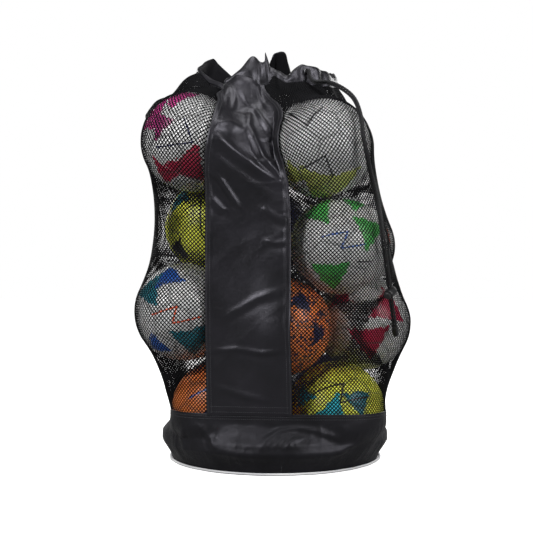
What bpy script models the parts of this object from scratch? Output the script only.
"""Mesh ball bag: a nylon-based net sack with a drawcord mouth, standing full of balls.

Frame: metres, +Z up, origin at the centre of the underside of the base,
front panel on the -Y side, +X to the right as seen from the front.
"""
import math

import bmesh
import bpy
import numpy as np

# ------------------------------------------------------------------ driving dimensions
BALL_R = 0.110            # full-size match ball, 220 mm across
BALL_GAP = 0.0005         # air left between two balls that touch
BALL_SUBDIVISIONS = 3
PART_GAP = 0.0006         # air left between neighbouring parts; cloth edges each keep back this far

CLOTH_T = 0.0012          # nylon cloth and net thickness
SKIN = 0.0048             # middle of the cloth stands this far off a ball
COVER_R = BALL_R + SKIN   # radius of the cloth over a ball
FACET_CLEARANCE = 0.0011  # air between a ball and the inside of a flat facet
COLUMNS = 48              # facets round the cloth
ROWS = 21                 # rows of facets from the base band to the mouth
MOUTH_ROWS = 7            # of those, the rows that start as the shoulder below the mouth

BASE_T = 0.0030           # thickness of the round base
BASE_R = 0.244            # radius of the round base
PIPING_R = 0.0030         # half thickness of the piping round the base edge
PIPING_SIDES = 6
PIPING_FLATTEN = 0.9      # the piping's height as a share of its width

BAND_TOP = 0.147          # height of the seam between the base band and the net
BAND_R_LOW = 0.246        # band radius just above the base
BAND_R_FLARE = 0.269      # band radius where the slack cloth stands out
BAND_R_TOP = 0.236        # radius of the seam before the balls push it out
NET_HOOP_R = 0.2          # least reach of the net above the seam before it is relaxed
SHOULDER_Z = 0.79         # height where the net starts to turn in to the mouth

PANEL_W = 0.186           # width of the front panel on the body
PANEL_W_TOP = 0.086       # width of the front panel where the mouth gathers it
PANEL_TAPER_Z = 0.74      # height where the front panel starts to narrow
PANEL_X = -0.006          # the panel hangs this far to the left of the centre line
PANEL_POINTS = 7          # corners across the front panel

MOUTH_Z = 0.892           # height of the seam between the net and the mouth hem, at the back
MOUTH_DIP = 0.027         # the gathered mouth sags this much lower over the front panel
MOUTH_R = 0.163           # middle radius of the gathered mouth
MOUTH_C = (-0.015, -0.020)
HEM_H = 0.056             # height of the drawcord channel
HEM_T = 0.0104            # outside thickness of the channel
HEM_WALL = 0.0014
HEM_LIFT = 0.001          # the hem starts this far above its seam
HEM_CHAMFERS = (0.003, 0.002)   # outer and inner outline
HEM_SPLIT = 0.052         # the front and back sections end this far from the centre line
HEM_RIGHT = math.radians(-36.0) # the right section starts here, from +X round the mouth

CORD_R = 0.00275          # drawcord radius
CORD_SIDES = 8
STRAND = 0.00305          # half distance between the two hanging strands
EXIT_ANGLE = math.radians(-46.0)  # the cord leaves the hem here, from +X round the mouth
EXIT_Z = 0.014            # height of the eyelet above the hem's seam
EXIT_OUT = 0.0095         # the hanging cord starts this far outside the hem
CORD_FIRST_STEP = (0.003, 0.012)  # outwards and down, from the start to the next point
CORD_END_Z = 0.315

# Balls before they settle: name, centre x, y, z, colour
BALLS = (
    ("ball_left_top_front", -0.145, -0.207, 0.726, "white"),
    ("ball_right_top_front", 0.140, -0.165, 0.711, "white"),
    ("ball_right_top_back", 0.120, 0.056, 0.742, "white"),
    ("ball_left_top_back", -0.136, 0.063, 0.740, "white"),
    ("ball_left_upper_front", -0.133, -0.082, 0.545, "yellow"),
    ("ball_right_upper_front", 0.171, -0.120, 0.498, "white"),
    ("ball_right_upper_back", 0.166, 0.112, 0.507, "white"),
    ("ball_left_upper_back", -0.053, 0.130, 0.550, "orange"),
    ("ball_left_lower", -0.171, -0.177, 0.349, "white"),
    ("ball_centre_lower_front", 0.048, -0.145, 0.316, "orange"),
    ("ball_right_lower", 0.211, 0.004, 0.320, "white"),
    ("ball_centre_lower_back", -0.073, 0.116, 0.326, "white"),
    ("ball_left_bottom_front", -0.100, -0.134, 0.128, "orange"),
    ("ball_right_bottom_front", 0.161, -0.089, 0.126, "yellow"),
    ("ball_left_bottom_back", -0.153, 0.090, 0.122, "yellow"),
    ("ball_right_bottom_back", 0.114, 0.137, 0.125, "white"),
)

# Base band below its seam: height, least reach of the cloth from the axis
BAND_RINGS = (
    (0.0070, BAND_R_LOW),
    (0.021, 0.2585),
    (0.045, BAND_R_FLARE - 0.002),
    (0.085, BAND_R_FLARE),
    (0.118, 0.256),
)
BAND_SEAM_DROP = 0.0010   # the band's top edge lies this far below the seam

# The hanging drawcord, from the hem over the right top front ball and down the side: x, y, z
CORD_POINTS = (
    (0.126, -0.168, 0.856), (0.155, -0.172, 0.853), (0.189, -0.191, 0.834),
    (0.218, -0.216, 0.805), (0.234, -0.236, 0.766), (0.241, -0.247, 0.722),
    (0.248, -0.235, 0.680), (0.253, -0.197, 0.640), (0.263, -0.178, 0.593),
    (0.272, -0.189, 0.545), (0.278, -0.189, 0.500), (0.292, -0.112, 0.345),
)

UP = np.array([0.0, 0.0, 1.0])


# ------------------------------------------------------------------ scene and materials
for old in list(bpy.data.objects):
    bpy.data.objects.remove(old, do_unlink=True)

bag = bpy.data.objects.new("mesh_ball_bag", None)
bpy.context.scene.collection.objects.link(bag)


def material(name, colour, roughness, metallic=0.0):
    mat = bpy.data.materials.new(name)
    mat.use_nodes = True
    inputs = mat.node_tree.nodes["Principled BSDF"].inputs
    inputs["Base Color"].default_value = (*colour, 1.0)
    inputs["Roughness"].default_value = roughness
    inputs["Metallic"].default_value = metallic
    return mat


NYLON = material("black_nylon", colour=(0.018, 0.018, 0.022), roughness=0.42)
NET = material("black_net", colour=(0.012, 0.012, 0.013), roughness=0.6)
PIPING = material("grey_piping", colour=(0.62, 0.62, 0.62), roughness=0.6)
CORD_BLACK = material("black_cord", colour=(0.015, 0.015, 0.015), roughness=0.8)
LOCK_BLACK = material("black_lock", colour=(0.02, 0.02, 0.02), roughness=0.35)
STEEL = material("spring_steel", colour=(0.6, 0.6, 0.62), roughness=0.3, metallic=1.0)
EYELET_METAL = material("eyelet_metal", colour=(0.05, 0.05, 0.05), roughness=0.35, metallic=0.9)
BALL_MATERIALS = {
    "white": material("ball_white", colour=(0.80, 0.80, 0.78), roughness=0.45),
    "yellow": material("ball_yellow", colour=(0.80, 0.78, 0.12), roughness=0.45),
    "orange": material("ball_orange", colour=(0.85, 0.25, 0.05), roughness=0.45),
}


# ------------------------------------------------------------------ mesh helpers
def add(name, verts, faces, mat, smooth=True):
    """An object of the bag, its faces turned outwards."""
    mesh = bpy.data.meshes.new(name)
    mesh.from_pydata([tuple(float(c) for c in v) for v in verts], [], faces)
    mesh.validate()
    bm = bmesh.new()
    bm.from_mesh(mesh)
    bmesh.ops.recalc_face_normals(bm, faces=bm.faces)
    if bm.calc_volume(signed=True) < 0:
        bmesh.ops.reverse_faces(bm, faces=bm.faces)
    bm.to_mesh(mesh)
    bm.free()
    if smooth:
        mesh.shade_smooth()
        mesh.set_sharp_from_angle(angle=math.radians(40))
    mesh.materials.append(mat)
    ob = bpy.data.objects.new(name, mesh)
    bpy.context.scene.collection.objects.link(ob)
    ob.parent = bag
    return ob


def quads(rings, sides, wrap_rings=False, wrap_sides=True):
    """Faces between neighbouring rings of points that are numbered ring by ring."""
    faces = []
    for i in range(rings if wrap_rings else rings - 1):
        here, there = i * sides, (i + 1) % rings * sides
        for j in range(sides if wrap_sides else sides - 1):
            k = (j + 1) % sides
            faces.append((here + j, there + j, there + k, here + k))
    return faces


def flipped(faces):
    return [(a, d, c, b) for a, b, c, d in faces]


def shifted(faces, offset):
    return [tuple(v + offset for v in face) for face in faces]


def circle(radius, sides):
    return [(radius * math.cos(a), radius * math.sin(a))
            for a in np.linspace(0, math.tau, sides + 1)[:-1]]


def sections(path, across, along, outline):
    """The outline's (across, along) pairs laid out at every point of a path."""
    return [[p + u * a + v * b for a, b in outline] for p, u, v in zip(path, across, along)]


def loft(name, rings, mat, closed=False):
    """A solid skin over rings of points: capped at both ends, or closed on itself."""
    count, sides = len(rings), len(rings[0])
    faces = quads(count, sides, wrap_rings=closed)
    if not closed:
        first = range(sides)
        last = range(count * sides - 1, (count - 1) * sides - 1, -1)
        faces += [tuple(first), tuple(last)]
    return add(name, np.vstack(rings), faces, mat)


def open_tube(name, outer, inner, mat):
    """A walled tube between outer and inner rings of points, open at both ends."""
    count, sides = len(outer), len(outer[0])
    offset = count * sides
    faces = quads(count, sides) + shifted(flipped(quads(count, sides)), offset)
    for end in (0, (count - 1) * sides):
        for j in range(sides):
            a, b = end + j, end + (j + 1) % sides
            faces.append((a, b, offset + b, offset + a))
    return add(name, np.vstack([*outer, *inner]), faces, mat)


def unit_rows(vectors):
    return vectors / np.linalg.norm(vectors, axis=-1, keepdims=True)


def square_to(vectors, tangents):
    """Unit vectors nearest the given ones at right angles to the tangents."""
    return unit_rows(vectors - (vectors * tangents).sum(axis=1, keepdims=True) * tangents)


# ------------------------------------------------------------------ the load of balls
def settled():
    """Ball centres nudged apart until no two are closer than a diameter and the gap."""
    centres = np.array([ball[1:4] for ball in BALLS], dtype=float)
    need = 2 * BALL_R + BALL_GAP
    for _ in range(400):
        worst = 0.0
        for i in range(len(centres)):
            for j in range(i):
                apart = centres[i] - centres[j]
                distance = np.linalg.norm(apart)
                if distance < need:
                    worst = max(worst, need - distance)
                    push = 0.5 * (need - distance) / distance * apart
                    centres[i] += push
                    centres[j] -= push
        if worst < 1e-7:
            break
    return centres


CENTRES = settled()


# ------------------------------------------------------------------ rings of cloth
def slice_radius(height):
    """Radius of a covered ball's slice at a height from its centre.

    Beyond the slope limit its flanks are carried on as cones.
    """
    limit = COVER_R * 0.447
    height = abs(height)
    if height < limit:
        return math.sqrt(COVER_R * COVER_R - height * height)
    return math.sqrt(COVER_R * COVER_R - limit * limit) - 0.5 * (height - limit)


def lengths_along(points):
    steps = np.linalg.norm(np.diff(points, axis=0), axis=1)
    return np.concatenate([[0], np.cumsum(steps)])


def interpolated(at, lengths, values):
    return np.stack([np.interp(at, lengths, column) for column in values.T], axis=1)


def respaced(loop, count, start_x=0.0):
    """A closed 2-D or 3-D loop, evenly respaced from where its front crosses start_x."""
    front = None
    for i in range(len(loop)):
        a, b = loop[i], loop[(i + 1) % len(loop)]
        if a[1] < 0 and a[0] <= start_x < b[0]:
            t = (start_x - a[0]) / (b[0] - a[0])
            y = a[1] + t * (b[1] - a[1])
            if front is None or y < front[0]:
                front = (y, i, t)
    _, i, t = front
    start = loop[i] * (1 - t) + loop[(i + 1) % len(loop)] * t
    points = np.vstack([start, np.roll(loop, -(i + 1), axis=0), start])
    lengths = lengths_along(points)
    return interpolated(np.linspace(0, lengths[-1], count + 1)[:-1], lengths, points)


def taut_ring(z, hoop):
    """The taut closed line round every ball and a centred hoop at height z.

    Evenly spaced points, counted from the front centre line towards +X.
    """
    phi = np.linspace(0, math.tau, 1441)[:-1]
    reach = np.full(phi.shape, hoop)
    for cx, cy, cz in CENTRES:
        radius = slice_radius(z - cz)
        if radius > 0:
            reach = np.maximum(reach, cx * np.cos(phi) + cy * np.sin(phi) + radius)
    slope = (np.roll(reach, -1) - np.roll(reach, 1)) / (2 * (phi[1] - phi[0]))
    x = reach * np.cos(phi) - slope * np.sin(phi)
    y = reach * np.sin(phi) + slope * np.cos(phi)
    ring = respaced(np.stack([x, y], axis=1), COLUMNS)
    return np.column_stack([ring, np.full(COLUMNS, z)])


def push_out(points):
    """Moves points of the cloth that lie inside a covered ball out to its surface."""
    for centre in CENTRES:
        offset = points - centre
        distance = np.linalg.norm(offset, axis=-1, keepdims=True)
        on_surface = centre + offset * (COVER_R / np.maximum(distance, 1e-9))
        points = np.where(distance < COVER_R, on_surface, points)
    return points


def mouth_z(angle):
    """Height of the hem's seam at an angle from +X round the mouth."""
    return MOUTH_Z - MOUTH_DIP * (0.5 - 0.5 * np.sin(angle)) ** 2


# ------------------------------------------------------------------ the cloth surfaces
def starting_rings():
    """The body before it is relaxed: taut rings, then a rounded shoulder in to the mouth."""
    rings = [taut_ring(z, NET_HOOP_R if i else BAND_R_TOP)
             for i, z in enumerate(np.linspace(BAND_TOP, SHOULDER_Z, ROWS + 1 - MOUTH_ROWS))]
    shoulder = rings[-1]
    angles = np.linspace(0, math.tau, COLUMNS + 1)[:-1] - math.pi / 2
    mouth = np.column_stack([MOUTH_C[0] + MOUTH_R * np.cos(angles),
                             MOUTH_C[1] + MOUTH_R * np.sin(angles), mouth_z(angles)])
    for k in range(1, MOUTH_ROWS + 1):
        turn = 0.5 * math.pi * k / MOUTH_ROWS
        ring = mouth.copy()
        ring[:, :2] += (shoulder - mouth)[:, :2] * math.cos(turn) ** 0.6
        ring[:, 2] = SHOULDER_Z + (mouth[:, 2] - SHOULDER_Z) * math.sin(turn) ** 0.6
        rings.append(ring)
    return np.array(rings)


def body_cloth():
    """The net and panel's surface: fixed at the band's seam and the mouth, taut over the balls."""
    cloth = starting_rings()
    for _ in range(900):
        relaxed = cloth.copy()
        relaxed[1:-1] = push_out(0.25 * (
            cloth[:-2] + cloth[2:]
            + np.roll(cloth, 1, axis=1)[1:-1] + np.roll(cloth, -1, axis=1)[1:-1]))
        cloth = relaxed
    for i in range(len(cloth)):
        cloth[i] = respaced(cloth[i], COLUMNS, PANEL_X)
    cloth[1:-1] = push_out(cloth[1:-1])
    return cloth


def band_cloth(seam):
    """The base band's surface, from just above the base to its seam with the net."""
    rings = [respaced(taut_ring(z, reach), COLUMNS, PANEL_X) for z, reach in BAND_RINGS]
    rings.append(np.column_stack([seam[:, :2], np.full(COLUMNS, BAND_TOP - BAND_SEAM_DROP)]))
    return np.array(rings)


def normals(grid):
    upwards = np.gradient(grid, axis=0)
    sideways = np.roll(grid, -1, axis=1) - np.roll(grid, 1, axis=1)
    return unit_rows(np.cross(sideways, upwards))


def cut_ring(ring, ring_normals, start, stop, count):
    """Evenly spaced points and normals of a closed ring between two arc lengths.

    Lengths run from the ring's first point and may be negative.
    """
    points = np.vstack([ring, ring, ring[:1]])
    point_normals = np.vstack([ring_normals, ring_normals, ring_normals[:1]])
    lengths = lengths_along(points)
    lengths = lengths - lengths[len(ring)]
    at = np.linspace(start, stop, count)
    return (interpolated(at, lengths, points),
            unit_rows(interpolated(at, lengths, point_normals)))


def panel_half_width(z):
    t = max(0.0, min(1.0, (z - PANEL_TAPER_Z) / (MOUTH_Z - PANEL_TAPER_Z)))
    return 0.5 * (PANEL_W + (PANEL_W_TOP - PANEL_W) * t * t)


def clear_facets(grid):
    """Moves corners outwards until the flat facets between them also clear every ball."""
    grid = np.array(grid)
    need = BALL_R + CLOTH_T / 2 + FACET_CLEARANCE
    # (row, column) of the two ends of each edge and diagonal of a facet
    spans = (((0, 0), (0, 1)), ((0, 0), (1, 0)), ((0, 0), (1, 1)), ((0, 1), (1, 0)))
    for _ in range(60):
        worst = 0.0
        for (i0, j0), (i1, j1) in spans:
            rows = grid.shape[0] - max(i0, i1)
            columns = grid.shape[1] - max(j0, j1)
            # views into the grid, so that moving them moves its corners
            first = grid[i0:i0 + rows, j0:j0 + columns]
            second = grid[i1:i1 + rows, j1:j1 + columns]
            for t in (0.5, 0.25, 0.75):
                for centre in CENTRES:
                    offset = first * (1 - t) + second * t - centre
                    distance = np.linalg.norm(offset, axis=-1, keepdims=True)
                    short = np.maximum(need - distance, 0.0)
                    if short.max() > 0:
                        worst = max(worst, float(short.max()))
                        move = offset / distance * short * 0.7
                        first += move
                        second += move
        if worst < 1e-5:
            break
    return grid


def sheet(name, grid, grid_normals, mat, closed=False):
    """Cloth over a grid of points, half its thickness to each side."""
    rows, columns = grid.shape[:2]
    outer = (grid + grid_normals * CLOTH_T / 2).reshape(-1, 3)
    inner = (grid - grid_normals * CLOTH_T / 2).reshape(-1, 3)
    offset = rows * columns
    skin = quads(rows, columns, wrap_sides=closed)
    faces = flipped(skin) + shifted(skin, offset)
    for j in range(columns if closed else columns - 1):
        a, b = j, (j + 1) % columns
        faces.append((a, a + offset, b + offset, b))
        a, b = a + (rows - 1) * columns, b + (rows - 1) * columns
        faces.append((a, b, b + offset, a + offset))
    if not closed:
        for i in range(rows - 1):
            a, b = i * columns, (i + 1) * columns
            faces.append((a, b, b + offset, a + offset))
            a, b = a + columns - 1, b + columns - 1
            faces.append((a, a + offset, b + offset, b))
    add(name, np.vstack([outer, inner]), faces, mat)


def build_cloth():
    """The body cloth cut into front panel and net, and the base band below it."""
    cloth = body_cloth()
    cloth_normals = normals(cloth)
    rings = cloth.copy()
    rings[0, :, 2] += PART_GAP
    rings[-1, :, 2] -= PART_GAP
    panel, panel_normals, net, net_normals = [], [], [], []
    for ring, ring_normals, z in zip(rings, cloth_normals, cloth[:, 0, 2]):
        # both edges of the seams keep back from the line between panel and net
        half_width = panel_half_width(z)
        # the taper follows the unshifted cloth; lengths follow the shifted ring
        total = lengths_along(np.vstack([ring, ring[:1]]))[-1]
        inside, outside = half_width - PART_GAP, half_width + PART_GAP
        points, point_normals = cut_ring(ring, ring_normals, -inside, inside, PANEL_POINTS)
        panel.append(push_out(points))
        panel_normals.append(point_normals)
        points, point_normals = cut_ring(ring, ring_normals, outside - total, -outside,
                                         COLUMNS - (PANEL_POINTS - 1))
        net.append(push_out(points))
        net_normals.append(point_normals)
    sheet("front_panel", clear_facets(panel), np.array(panel_normals), NYLON)
    sheet("net_body", clear_facets(net), np.array(net_normals), NET)
    band = band_cloth(cloth[0])
    sheet("base_band", band, normals(band), NYLON, closed=True)


# ------------------------------------------------------------------ base
def build_base_disc():
    outline = circle(BASE_R, COLUMNS)
    loft("base_disc", [[(x, y, z) for x, y in outline] for z in (0.0, BASE_T)], NYLON)


def build_base_piping():
    outward = np.array([(x, y, 0.0) for x, y in circle(1.0, COLUMNS)])
    path = outward * (BASE_R + PIPING_R + PART_GAP) + UP * PIPING_R
    outline = [(r, h * PIPING_FLATTEN) for r, h in circle(PIPING_R, PIPING_SIDES)]
    rings = sections(path, outward, [UP] * COLUMNS, outline)
    loft("base_piping", rings, PIPING, closed=True)


# ------------------------------------------------------------------ mouth hem and its cord
def chamfered(width, height, c):
    w, h = width / 2, height / 2
    return [(w, -h + c), (w, h - c), (w - c, h), (-w + c, h),
            (-w, h - c), (-w, -h + c), (-w + c, -h), (w - c, -h)]


def build_mouth():
    """The hem's four hollow sections, each with its length of drawcord inside."""
    outer = chamfered(HEM_T, HEM_H, HEM_CHAMFERS[0])
    inner = chamfered(HEM_T - 2 * HEM_WALL, HEM_H - 2 * HEM_WALL, HEM_CHAMFERS[1])
    split = math.asin(HEM_SPLIT / MOUTH_R)
    gap = PART_GAP / MOUTH_R
    quarter = math.pi / 2
    # where each section starts and ends round the mouth, and its points along the arc
    arcs = (
        ("front", -quarter - split, HEM_RIGHT, 9),
        ("right", HEM_RIGHT, quarter - split, 12),
        ("back", quarter - split, quarter + split, 6),
        ("left", quarter + split, 3 * quarter - split, 15),
    )
    for side, start, stop, count in arcs:
        angles = np.linspace(start + gap, stop - gap, count)
        outward = np.column_stack([np.cos(angles), np.sin(angles), np.zeros(count)])
        path = outward * MOUTH_R
        path += np.column_stack([np.full(count, MOUTH_C[0]), np.full(count, MOUTH_C[1]),
                                 mouth_z(angles) + HEM_LIFT + HEM_H / 2])
        frame = (path, outward, [UP] * count)
        open_tube("mouth_hem_" + side, sections(*frame, outer), sections(*frame, inner), NYLON)
        loft("drawcord_" + side, sections(*frame, circle(CORD_R, CORD_SIDES)), CORD_BLACK)


# ------------------------------------------------------------------ hanging drawcord
EXIT_DIR = np.array([math.cos(EXIT_ANGLE), math.sin(EXIT_ANGLE), 0.0])
EXIT_TANGENT = np.array([-math.sin(EXIT_ANGLE), math.cos(EXIT_ANGLE), 0.0])
# where the cord passes the hem's outer face
EXIT = (np.array([*MOUTH_C, mouth_z(EXIT_ANGLE) + EXIT_Z])
        + EXIT_DIR * (MOUTH_R + HEM_T / 2))

EYELET_OUT = 0.0008       # the eyelet's back stands this far off the hem
EYELET_POINTS = 16
# Eyelet section: distance from its axis, height above its back
EYELET_SECTION = (
    (0.0045, 0.0), (0.0075, 0.0), (0.0072, 0.0012), (0.0055, 0.0016), (0.0045, 0.0010),
)

# End stop outline: towards the outer strand, square to both strands
STOP_OUTLINE = (
    (0.0066, -0.0022), (0.0066, 0.0022), (0.0045, 0.0040), (-0.0045, 0.0040),
    (-0.0066, 0.0022), (-0.0066, -0.0022), (-0.0045, -0.0040), (0.0045, -0.0040),
)
# End stop stations: distance from its top, scale of the outline
STOP_STATIONS = ((0.0, 0.75), (0.003, 1.0), (0.019, 1.0), (0.022, 0.7))


def cord_path():
    """The line midway between the two strands: the start, the curve, the straight end."""
    a, b = np.array(CORD_POINTS[-2]), np.array(CORD_POINTS[-1])
    end = b + (b - a) * (CORD_END_Z - b[2]) / (b[2] - a[2])
    start = EXIT + EXIT_DIR * EXIT_OUT
    outwards, down = CORD_FIRST_STEP
    return np.array([start, start + EXIT_DIR * outwards - UP * down, *CORD_POINTS, end])


def cord_frames(points):
    """Tangents, outward normals and binormals; the last three points share one frame."""
    tangents = np.gradient(points, axis=0)
    tangents[-3:] = points[-1] - points[-3]
    tangents = unit_rows(tangents)
    radial = points * (1, 1, 0)
    radial[-3:] = radial[-2].copy()
    outward = square_to(radial, tangents)
    return tangents, outward, np.cross(tangents, outward)


CORD = cord_path()
CORD_TANGENTS, CORD_NORMALS, CORD_BINORMALS = cord_frames(CORD)


def build_cord_tails():
    for name, offset in (("drawcord_tail_outer", STRAND), ("drawcord_tail_inner", -STRAND)):
        rings = sections(CORD + CORD_NORMALS * offset, CORD_NORMALS, CORD_BINORMALS,
                         circle(CORD_R, CORD_SIDES))
        loft(name, rings, CORD_BLACK)


def build_cord_end_stop():
    """The sewn and sealed end that joins the two strands."""
    rings = []
    for distance, scale in STOP_STATIONS:
        centre = CORD[-1] + CORD_TANGENTS[-1] * (PART_GAP + distance)
        rings.append([centre + CORD_NORMALS[-1] * a * scale + CORD_BINORMALS[-1] * b * scale
                      for a, b in STOP_OUTLINE])
    loft("cord_end_stop", rings, CORD_BLACK)


def build_cord_eyelet():
    """The eyelet on the hem's outer face where the two strands come out."""
    spokes = [EXIT_TANGENT * a + UP * b for a, b in circle(1.0, EYELET_POINTS)]
    centres = [EXIT + EXIT_DIR * EYELET_OUT] * EYELET_POINTS
    rings = sections(centres, spokes, [EXIT_DIR] * EYELET_POINTS, EYELET_SECTION)
    loft("cord_eyelet", rings, EYELET_METAL, closed=True)


# ------------------------------------------------------------------ cord lock
LOCK_Z = 0.392            # height of the lock's centre on the cord
LOCK_R = 0.0115           # barrel radius
LOCK_L = 0.0270           # barrel length
LOCK_HALF = LOCK_L / 2
LOCK_BORE = 0.0083        # radius of the bore for the plunger
LOCK_FLOOR = -LOCK_HALF + 0.0022     # bottom of the bore, along the barrel
LOCK_RIM = LOCK_HALF - 0.0008        # open end of the barrel
LOCK_SIDES = 20
LOCK_TRAVEL = 0.004       # the plunger's hole is longer by this and the slack
TRAVEL_SLACK = 0.0004
HOLE_HALF_W = CORD_R + 0.0003            # cord hole, along the barrel
HOLE_HALF_H = STRAND + CORD_R + 0.0005   # cord hole, from strand to strand
CUTTER_REACH = 0.02       # the cutters reach this far each way along the cord
PLUNGER_R = 0.0079
PLUNGER_BASE = -LOCK_HALF + 0.0080   # plunger's inner end, along the barrel
SPRING_R = 0.0052
SPRING_WIRE = 0.0005      # wire radius
SPRING_GAP = 0.0004       # air at each end of the spring
SPRING_TURNS = 4
SPRING_STEPS = 8          # path steps in each turn
SPRING_SIDES = 4

# Profiles: distance along the barrel, radius
BODY_PROFILE = (
    (-LOCK_HALF, 0.0075),
    (-LOCK_HALF + 0.0015, LOCK_R - 0.0006),
    (-LOCK_HALF + 0.004, LOCK_R),
    (LOCK_HALF - 0.003, LOCK_R),
    (LOCK_RIM, LOCK_R - 0.0008),
    (LOCK_RIM, LOCK_BORE),
    (LOCK_FLOOR, LOCK_BORE),
)
PLUNGER_PROFILE = (
    (PLUNGER_BASE, PLUNGER_R),
    (LOCK_HALF + 0.0035, PLUNGER_R),
    (LOCK_HALF + 0.0050, PLUNGER_R - 0.0014),
)

CORD_LINE = unit_rows(CORD[-1] - CORD[-3])
LOCK_CENTRE = CORD[-3] + CORD_LINE * ((LOCK_Z - CORD[-3][2]) / CORD_LINE[2])
LOCK_OUT = CORD_NORMALS[-1]
BARREL = np.cross(CORD_LINE, LOCK_OUT)
if BARREL[1] >= 0:        # the button end faces the front
    BARREL = -BARREL


def on_lock(points):
    """Lock coordinates (along the barrel, outwards, along the cord) to the bag's frame."""
    return [LOCK_CENTRE + BARREL * a + LOCK_OUT * b + CORD_LINE * c for a, b, c in points]


def turned(name, profile, mat):
    """A profile turned round the barrel's axis, its two ends closed with fans."""
    count = len(profile)
    points = [(a, r * y, r * z) for y, z in circle(1.0, LOCK_SIDES) for a, r in profile]
    first, last = len(points), len(points) + 1
    points += [(profile[0][0], 0, 0), (profile[-1][0], 0, 0)]
    faces = flipped(quads(LOCK_SIDES, count, wrap_rings=True, wrap_sides=False))
    for i in range(LOCK_SIDES):
        here, there = i * count, (i + 1) % LOCK_SIDES * count
        faces.append((first, here, there))
        faces.append((last, there + count - 1, here + count - 1))
    return add(name, on_lock(points), faces, mat)


def drill(target, cutter_name, extra=0.0):
    """Cuts the cord hole, made longer towards the button end by the extra."""
    points = [(a, b, c)
              for a in (-HOLE_HALF_W, HOLE_HALF_W + extra)
              for b in (-HOLE_HALF_H, HOLE_HALF_H)
              for c in (-CUTTER_REACH, CUTTER_REACH)]
    faces = [(0, 1, 3, 2), (4, 6, 7, 5), (0, 4, 5, 1), (2, 3, 7, 6), (0, 2, 6, 4), (1, 5, 7, 3)]
    cutter = add(cutter_name, on_lock(points), faces, LOCK_BLACK, smooth=False)
    cutter.hide_render = True
    cutter.display_type = 'WIRE'
    hole = target.modifiers.new("cord_hole", 'BOOLEAN')
    hole.object = cutter
    hole.operation = 'DIFFERENCE'
    hole.solver = 'EXACT'


def build_lock_body():
    drill(turned("cord_lock_body", BODY_PROFILE, LOCK_BLACK), "cutter_body")


def build_lock_plunger():
    plunger = turned("cord_lock_plunger", PLUNGER_PROFILE, LOCK_BLACK)
    drill(plunger, "cutter_plunger", extra=LOCK_TRAVEL + TRAVEL_SLACK)


def build_lock_spring():
    """The spring between the barrel's floor and the plunger."""
    start = LOCK_FLOOR + SPRING_WIRE + SPRING_GAP
    stop = PLUNGER_BASE - SPRING_WIRE - SPRING_GAP
    steps = SPRING_TURNS * SPRING_STEPS
    helix = []
    for i in range(steps + 1):
        angle = math.tau * i / SPRING_STEPS
        helix.append((start + (stop - start) * i / steps,
                      SPRING_R * math.cos(angle), SPRING_R * math.sin(angle)))
    path = np.array(on_lock(helix))
    tangents = unit_rows(np.gradient(path, axis=0))
    across = square_to(np.tile(BARREL, (len(path), 1)), tangents)
    rings = sections(path, across, np.cross(tangents, across), circle(SPRING_WIRE, SPRING_SIDES))
    loft("cord_lock_spring", rings, STEEL)


# ------------------------------------------------------------------ balls
def ball_mesh(mat):
    mesh = bpy.data.meshes.new("ball")
    bm = bmesh.new()
    bmesh.ops.create_icosphere(bm, subdivisions=BALL_SUBDIVISIONS, radius=BALL_R)
    bm.to_mesh(mesh)
    bm.free()
    mesh.shade_smooth()
    mesh.materials.append(mat)
    return mesh


def build_balls():
    """The balls share one mesh for each colour."""
    meshes = {colour: ball_mesh(mat) for colour, mat in BALL_MATERIALS.items()}
    for (name, _, _, _, colour), centre in zip(BALLS, CENTRES):
        ball = bpy.data.objects.new(name, meshes[colour])
        bpy.context.scene.collection.objects.link(ball)
        ball.location = centre.tolist()
        ball.parent = bag


build_cloth()
build_base_disc()
build_base_piping()
build_mouth()
build_cord_tails()
build_cord_end_stop()
build_cord_eyelet()
build_lock_body()
build_lock_plunger()
build_lock_spring()
build_balls()
